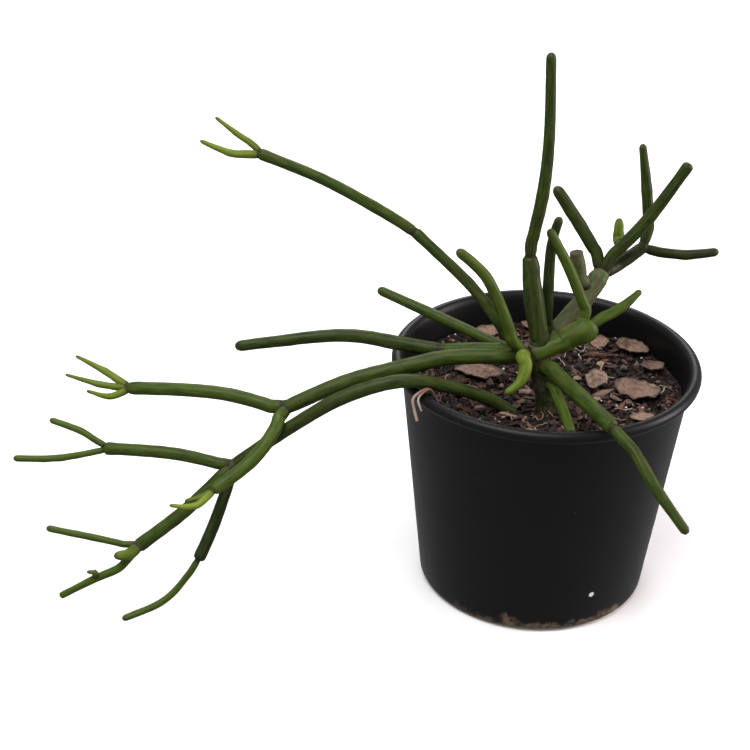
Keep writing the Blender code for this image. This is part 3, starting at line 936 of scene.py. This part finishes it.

# %% [markdown]
# ## Mulch
#
# Composted bark is thousands of flakes of every size, dark where they are damp and pinkish
# tan where they have dried. One Geometry Nodes tree scatters a few flake shapes over the
# ground: it picks a shape, a turn and a size for each point and stores a random tint, which
# the bark material turns into a colour. The same tree, with other shapes and sizes, also
# lays larger slabs, crumbs and the white perlite grains.

# %% Scatter tree


def flake_mesh(name, seed, length, width, thickness, corners):
    """A small ragged flake of bark, lying flat, with its edges thinner than its middle."""
    chooser = random.Random(seed)
    reach = [chooser.uniform(0.62, 1.0) for i in range(corners)]
    bend = chooser.uniform(-0.35, 0.35)
    shape = bmesh.new()
    rings = []
    for share, height in ((0.80, -0.5), (1.0, 0.0), (0.72, 0.5)):
        ring = []
        for i in range(corners):
            angle = 2 * math.pi * (i + 0.4 * chooser.random()) / corners
            x = length / 2 * reach[i] * share * math.cos(angle)
            y = width / 2 * reach[i] * share * math.sin(angle)
            lift = bend * (x / length) ** 2 * length * 2
            ring.append(shape.verts.new((x, y, thickness * height + lift)))
        rings.append(ring)
    for low, high in zip(rings[:-1], rings[1:]):
        for i in range(corners):
            j = (i + 1) % corners
            shape.faces.new((low[i], low[j], high[j], high[i]))
    shape.faces.new(rings[0][::-1])
    shape.faces.new(rings[-1])
    bmesh.ops.recalc_face_normals(shape, faces=shape.faces[:])
    return mesh_from(shape, name)


def shape_set(name, meshes):
    """A collection of shapes for the scatter tree to pick from. It isn't in the scene."""
    group = bpy.data.collections.new(name)
    for mesh in meshes:
        group.objects.link(bpy.data.objects.new(mesh.name, mesh))
    return group


def scatter_tree():
    tree, given, output = new_tree("scatter", {
        "Shapes": ("NodeSocketCollection", None),
        "Density": ("NodeSocketFloat", 1000.0),
        "Smallest": ("NodeSocketFloat", 0.5),
        "Largest": ("NodeSocketFloat", 1.0),
        "Lean": ("NodeSocketFloat", 0.5),
        "Lift": ("NodeSocketFloat", 0.0),
        "Seed": ("NodeSocketInt", 1),
        "Material": ("NodeSocketMaterial", None),
    })

    def random_value(low, high, salt, kind="FLOAT"):
        made = tree.nodes.new("FunctionNodeRandomValue")
        made.data_type = kind
        low_socket, high_socket = (made.inputs[0], made.inputs[1]) if kind == "FLOAT_VECTOR" else (
            made.inputs[2], made.inputs[3])
        for socket, value in ((low_socket, low), (high_socket, high)):
            if isinstance(value, bpy.types.NodeSocket):
                tree.links.new(value, socket)
            else:
                socket.default_value = value
        tree.links.new(maths(tree, "ADD", given["Seed"], salt), made.inputs["Seed"])
        return made.outputs[0 if kind == "FLOAT_VECTOR" else 1]

    spread = node(tree, "GeometryNodeDistributePointsOnFaces", Mesh=given["Geometry"],
                  Density=given["Density"], Seed=given["Seed"])
    lean = given["Lean"]
    down = maths(tree, "MULTIPLY", lean, -1.0)
    low = node(tree, "ShaderNodeCombineXYZ", X=down, Y=down, Z=0.0).outputs[0]
    high = node(tree, "ShaderNodeCombineXYZ", X=lean, Y=lean, Z=6.283).outputs[0]
    turn = random_value(low, high, 11.0, "FLOAT_VECTOR")
    size = random_value(given["Smallest"], given["Largest"], 23.0)
    shapes = node(tree, "GeometryNodeCollectionInfo", Collection=given["Shapes"],
                  Separate_Children=True, Reset_Children=True)
    placed = node(tree, "GeometryNodeInstanceOnPoints", Points=spread.outputs["Points"],
                  Instance=shapes.outputs[0], Pick_Instance=True, Rotation=turn, Scale=size)
    rise = node(tree, "ShaderNodeCombineXYZ", Z=random_value(0.0, given["Lift"], 31.0)).outputs[0]
    raised = node(tree, "GeometryNodeTranslateInstances", Instances=placed.outputs[0],
                  Translation=rise, Local_Space=False)
    tinted = store(tree, raised.outputs[0], "tint", random_value(0.0, 1.0, 47.0), domain="INSTANCE")
    finish_tree(tree, tinted, given["Material"], output)
    return tree


scatter = scatter_tree()
print("tree", scatter.name, "has", len(scatter.nodes), "nodes")


# %% Bark material and the loose mulch


def bark_material(name, stops, scale=1.0):
    """Fibrous bark coloured by each flake's tint. A share from middle to edge adds bands."""
    made, tree, shader = new_material(name, Specular_IOR_Level=0.3)
    where = node(tree, "ShaderNodeTexCoord").outputs["Object"]
    stretched = node(tree, "ShaderNodeMapping", Vector=where, Scale=(1.0, 0.35, 1.0)).outputs[0]
    grain = noise_at(tree, stretched, 520.0 * scale, 6.0, 0.7)
    colour = ramp(tree, attribute(tree, "tint"), stops)
    worn = mix(tree, maths(tree, "MULTIPLY", fade(tree, grain, 0.42, 0.66), 0.65), colour,
               (0.30, 0.20, 0.15), "MULTIPLY")
    colour = mix(tree, fade(tree, grain, 0.60, 0.36), colour, worn)
    colour = mix(tree, maths(tree, "MULTIPLY", fade(tree, grain, 0.58, 0.72), 0.5), colour,
                 (0.34, 0.24, 0.19), "MIX")
    share = attribute(tree, "share")
    wander = noise_at(tree, where, 130.0, 3.0)
    phase = maths(tree, "MULTIPLY_ADD", share, 15.0, maths(tree, "MULTIPLY", wander, 30.0))
    bands = maths(tree, "SINE", phase)
    bands = maths(tree, "MULTIPLY", fade(tree, bands, 0.2, 0.95), fade(tree, share, 0.02, 0.10))
    colour = mix(tree, maths(tree, "MULTIPLY", bands, 0.26), colour, (0.075, 0.040, 0.030))
    stain = fade(tree, noise_at(tree, where, 95.0, 4.0, 0.6), 0.50, 0.66)
    stain = maths(tree, "MULTIPLY", stain, fade(tree, share, 0.02, 0.10))
    colour = mix(tree, maths(tree, "MULTIPLY", stain, 0.75), colour, (0.085, 0.040, 0.032))
    rim = maths(tree, "ADD", share, maths(tree, "MULTIPLY_ADD", wander, 0.5, -0.25))
    edge = maths(tree, "MULTIPLY", fade(tree, rim, 0.80, 1.02), 0.8)
    colour = mix(tree, edge, colour, (0.030, 0.018, 0.014))
    paint(tree, shader, colour, maths(tree, "MULTIPLY_ADD", grain, 0.4, 0.55))
    add_relief(tree, shader, maths(tree, "MULTIPLY_ADD", bands, -0.5, grain), 0.9, 0.0009)
    return made


mulch_bark = bark_material("mulch_bark", [
    (0.0, (0.006, 0.004, 0.003)), (0.45, (0.013, 0.008, 0.006)), (0.70, (0.036, 0.016, 0.012)),
    (0.88, (0.085, 0.035, 0.026)), (0.97, (0.180, 0.105, 0.078)), (1.0, (0.300, 0.215, 0.170))])
SHAPES = {  # first seed, corners, and each shape's length, width and thickness in millimetres
    "flake": (40, 8, [(7, 4.5, 1.0), (9, 3, 1.2), (6, 5, 0.8), (11, 2.2, 1.1), (5, 3.5, 1.6), (8, 5, 0.9)]),
    "crumb": (70, 6, [(2.4, 1.8, 1.0), (3.2, 1.2, 0.7), (2.0, 1.7, 1.2)]),
    "slab": (50, 11, [(15, 7, 1.6), (12, 9, 1.4), (17, 5, 1.8)]),
    "grain": (90, 6, [(2.2, 1.9, 1.7)] * 3),
}
sets = {}
for kind, (seed, corners, sizes) in SHAPES.items():
    sets[kind] = shape_set(kind + "_shapes", [
        flake_mesh(f"{kind}_{i}", seed + i, *(edge * MM for edge in size), corners=corners)
        for i, size in enumerate(sizes)])


def ground_patch(name, reach, about=(0.0, 0.0)):
    """A copy of the soil's upper surface within reach of a point, for scattering on."""
    spot = Vector(about)
    shape = bmesh.new()
    shape.from_mesh(soil.data)
    gone = [f for f in shape.faces
            if f.normal.z < 0.3 or (f.calc_center_median().xy - spot).length > reach]
    bmesh.ops.delete(shape, geom=gone, context="FACES")
    return add_piece(name, mesh_from(shape, name))


def cloudy_material(name, roughness, scale, detail, stops):
    """A plain material whose colour drifts from stop to stop with noise."""
    made, tree, shader = new_material(name, Roughness=roughness)
    where = node(tree, "ShaderNodeTexCoord").outputs["Object"]
    paint(tree, shader, ramp(tree, noise_at(tree, where, scale, detail), stops))
    return made


perlite = cloudy_material("perlite", 0.8, 900.0, 4.0, [
    (0.3, (0.34, 0.31, 0.28)), (0.7, (0.78, 0.76, 0.73))])

REACH = SOIL_RADIUS - 2.8 * MM
tan_bark = bark_material("tan_bark", [
    (0.0, (0.045, 0.022, 0.017)), (0.5, (0.120, 0.066, 0.048)), (1.0, (0.330, 0.235, 0.170))])
loose = {
    "mulch_slabs": (sets["slab"], 5200.0, 0.6, 1.0, 0.42, 2.6 * MM, 12, tan_bark, REACH - 6 * MM),
    "mulch_flakes": (sets["flake"], 95000.0, 0.5, 1.15, 0.50, 1.8 * MM, 3, mulch_bark, REACH - 2.5 * MM),
    "mulch_crumbs": (sets["crumb"], 260000.0, 0.5, 1.2, 0.9, 1.2 * MM, 5, mulch_bark, REACH + 1.6 * MM),
    "perlite_grains": (sets["grain"], 2600.0, 0.35, 0.9, 1.5, 2.2 * MM, 8, perlite, REACH),
}
mulch = []
loose["rim_crumbs"] = (sets["crumb"], 130000.0, 0.6, 1.3, 1.2, 2.0 * MM, 15, tan_bark, 7 * MM)
NEAR_RIM = (-0.023, -0.055)
for name, (shapes, density, small, large, lean, lift, seed, surface, reach) in loose.items():
    patch = ground_patch(name, reach, NEAR_RIM if name == "rim_crumbs" else (0.0, 0.0))
    mulch.append(apply_tree(patch, scatter, {
        "Shapes": shapes, "Density": density, "Smallest": small, "Largest": large,
        "Lean": lean, "Lift": lift, "Seed": seed, "Material": surface}))
    print(name, len(patch.data.polygons), "faces")

# %% [markdown]
# ## Large bark chips
#
# A few flat flakes lie on top, dried to a pinkish tan. Each stands on its plain solid's
# box. Its outline is ragged, its face is cupped and layered like plywood, and its edge is
# broken, so it is built as a round grid whose every ring is pushed about by noise.

# %% Large bark chips
CHIP_SIDES, CHIP_RINGS = 44, 9
chip_bark = bark_material("chip_bark", [
    (0.0, (0.105, 0.055, 0.042)), (0.5, (0.215, 0.130, 0.094)), (1.0, (0.370, 0.265, 0.180))], 0.6)


def chip_outline(name):
    """Corner points of a plain chip's widest ring, around its centre."""
    spots = {(round(v.co.x, 6), round(v.co.y, 6)): v.co.z for v in nodes[name].data.vertices}
    low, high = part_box(name)
    middle = (low + high) / 2
    reach = {}
    for x, y in spots:
        angle = math.atan2(y - middle.y, x - middle.x)
        key = round(angle * 9 / (2 * math.pi)) % 9
        far = math.hypot(x - middle.x, y - middle.y)
        if far > reach.get(key, (0, 0))[0]:
            reach[key] = (far, angle)
    return middle, sorted((angle, far) for far, angle in reach.values())


def reach_at(outline, angle):
    """Radius of the outline at an angle, between its corners."""
    for (a, ra), (b, rb) in zip(outline, outline[1:] + [(outline[0][0] + 2 * math.pi, outline[0][1])]):
        for turn in (angle, angle + 2 * math.pi):
            if a <= turn <= b:
                return ra + (rb - ra) * (turn - a) / (b - a)
    return outline[0][1]


def bark_chip(name, seed):
    """A layered, cupped flake over a plain chip."""
    middle, outline = chip_outline(name)
    low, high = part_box(name)
    shape = bmesh.new()
    top, bottom, shares = [], [], []
    for k in range(1, CHIP_RINGS + 1):
        share = k / CHIP_RINGS
        rings = ([], [])
        for i in range(CHIP_SIDES):
            angle = -math.pi + 2 * math.pi * (i + 0.5) / CHIP_SIDES
            ragged = 1 + 0.16 * noise.noise(Vector((3 * math.cos(angle), 3 * math.sin(angle), seed)))
            far = reach_at(outline, angle) * ragged * share
            x, y = middle.x + far * math.cos(angle), middle.y + far * math.sin(angle)
            layer = noise.noise(Vector((x * 260, y * 110, seed * 3.1)))
            step = round(layer * 4) / 4 * 0.9 + layer * 0.4
            cup = 1.1 * share ** 2 + 0.8 * noise.noise(Vector((x * 90, y * 90, seed)))
            height = high.z + (step + cup - 0.6) * MM
            thin = (1.5 - 1.0 * share ** 3) * MM
            rings[0].append(shape.verts.new((x, y, height)))
            rings[1].append(shape.verts.new((x, y, height - thin)))
            shares += [share, share]
        top.append(rings[0])
        bottom.append(rings[1])
    for layers, facing in ((top, 1), (bottom, -1)):
        for inner, outer in zip(layers[:-1], layers[1:]):
            for i in range(CHIP_SIDES):
                j = (i + 1) % CHIP_SIDES
                shape.faces.new((inner[i], outer[i], outer[j], inner[j])[::facing])
        shape.faces.new(layers[0][::facing])
    for i in range(CHIP_SIDES):
        j = (i + 1) % CHIP_SIDES
        shape.faces.new((top[-1][i], bottom[-1][i], bottom[-1][j], top[-1][j]))
    bmesh.ops.recalc_face_normals(shape, faces=shape.faces[:])
    mesh = mesh_from(shape, name + "_flake")
    mesh.shade_smooth()
    mesh.set_sharp_from_angle(angle=math.radians(38))
    tint = 0.2 + 0.75 * random.Random(seed).random()
    values = [tint] * len(mesh.vertices)
    mesh.attributes.new("tint", "FLOAT", "POINT").data.foreach_set("value", values)
    mesh.attributes.new("share", "FLOAT", "POINT").data.foreach_set("value", shares)
    mesh.materials.append(chip_bark)
    return add_piece(name + "_flake", mesh)


chip_names = sorted(n for n in nodes if n.startswith("bark_chip"))
chips = {name: bark_chip(name, 5 + i) for i, name in enumerate(chip_names)}
print(len(chips), "large chips")

# %% [markdown]
# ## Root fibres
#
# Fine roots and bark threads lie over the mulch. The stem tree grows them too, from thin
# wandering lines with five sides. A pale pair hangs over the rim at the front left.

# %% Root fibres
FIBRES, FIBRE_STEP = 48, 1.1 * MM
chooser = random.Random(21)
fibre_lines = []
for i in range(FIBRES):
    angle, far = chooser.uniform(0, 2 * math.pi), (SOIL_RADIUS - 9 * MM) * chooser.random() ** 0.5
    x, y, heading = far * math.cos(angle), far * math.sin(angle), chooser.uniform(0, 2 * math.pi)
    width, lift, line = chooser.uniform(0.12, 0.34) * MM, chooser.uniform(1.2, 3.4) * MM, []
    for k in range(chooser.randint(7, 18)):
        height = ground_at(x, y) + lift * (1 + 0.3 * math.sin(0.7 * k + i))
        line.append((Vector((x, y, height)), width, k * FIBRE_STEP, 0.01))
        heading += chooser.uniform(-0.55, 0.55)
        x, y = x + FIBRE_STEP * math.cos(heading), y + FIBRE_STEP * math.sin(heading)
        if math.hypot(x, y) > SOIL_RADIUS - 4 * MM:
            break
    fibre_lines.append(line)
over_rim = [(-50, -40, 117), (-54, -44, 124.6), (-57.5, -47.5, 125.4), (-61, -50, 122.5),
            (-60, -51, 117), (-58.5, -51.5, 112)]
for side, shift in enumerate((0.0, 1.6)):
    points = [(Vector(p) * MM + Vector((shift * k * 0.5 * MM, 0, 0)), (0.75 - 0.2 * side) * MM)
              for k, p in enumerate(over_rim[:6 - side])]
    fibre_lines.append([(c, w, d, 0.01) for c, w, d in measured(smooth_line(points, 0.8 * MM))])

fibre_paint = cloudy_material("root_fibre", 0.7, 45.0, 2.0, [
    (0.34, (0.070, 0.026, 0.018)), (0.48, (0.220, 0.120, 0.085)), (0.62, (0.480, 0.390, 0.310))])
fibres = apply_tree(thread("root_fibres", [line for line in fibre_lines if len(line) > 2]), grow, {
    "Sides": 5, "Unevenness": 0.5, "Age": 0.5, "Shade": 0.5, "Seam": 0.0, "Material": fibre_paint})
mulch.append(fibres)
print(len(fibre_lines), "fibres")

# %% [markdown]
# ## Riding on the frame
#
# Nothing on this object moves, so every piece rides on the one body. A piece that takes
# the place of a plain solid hides that solid.

# %% Put everything on the frame


def place_on_frame(thing, solid=None):
    """Lets a piece ride on the frame, in place of a plain solid if there is one."""
    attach(thing, "root")
    if solid:
        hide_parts(solid)


for name, thing in stems.items():
    place_on_frame(thing, name)
place_on_frame(pot, "pot")
place_on_frame(soil, "soil")
for name, thing in chips.items():
    place_on_frame(thing, name)
for thing in mulch:
    place_on_frame(thing)
